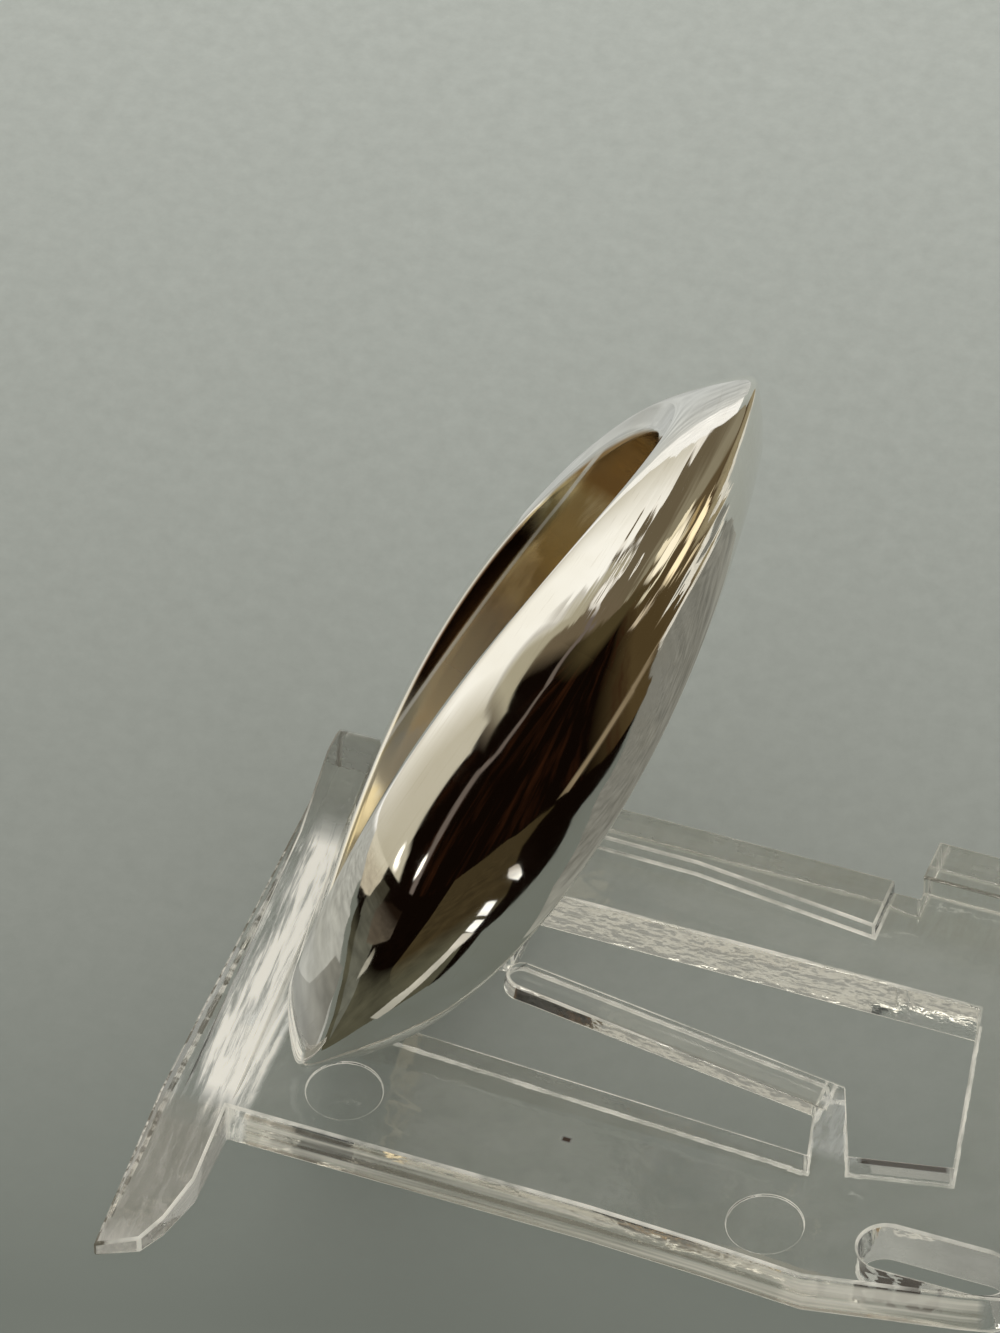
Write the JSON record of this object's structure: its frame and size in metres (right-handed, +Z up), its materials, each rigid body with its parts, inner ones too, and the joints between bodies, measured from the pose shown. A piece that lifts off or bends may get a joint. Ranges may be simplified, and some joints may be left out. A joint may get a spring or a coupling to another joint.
{
  "type": "band ring on clear stand",
  "caption": "Domed silver band ring, narrower at its shoulders, leaning upright in a small clear moulded display stand with a foot, a side wall and a springy tongue.",
  "frame": {"origin": "on the underside of the stand's front strip, at the middle of its plain stretch", "axes": "+X along the stand's strips to its right end, +Y towards its back, +Z up"},
  "size_m": [0.0263, 0.0241, 0.022],
  "materials": {
    "silver": "polished silver",
    "clear_plastic": "clear moulded plastic"
  },
  "bodies": {
    "root": {"band_ring": "silver", "ring_stand": "clear_plastic"}
  },
  "joints": []
}
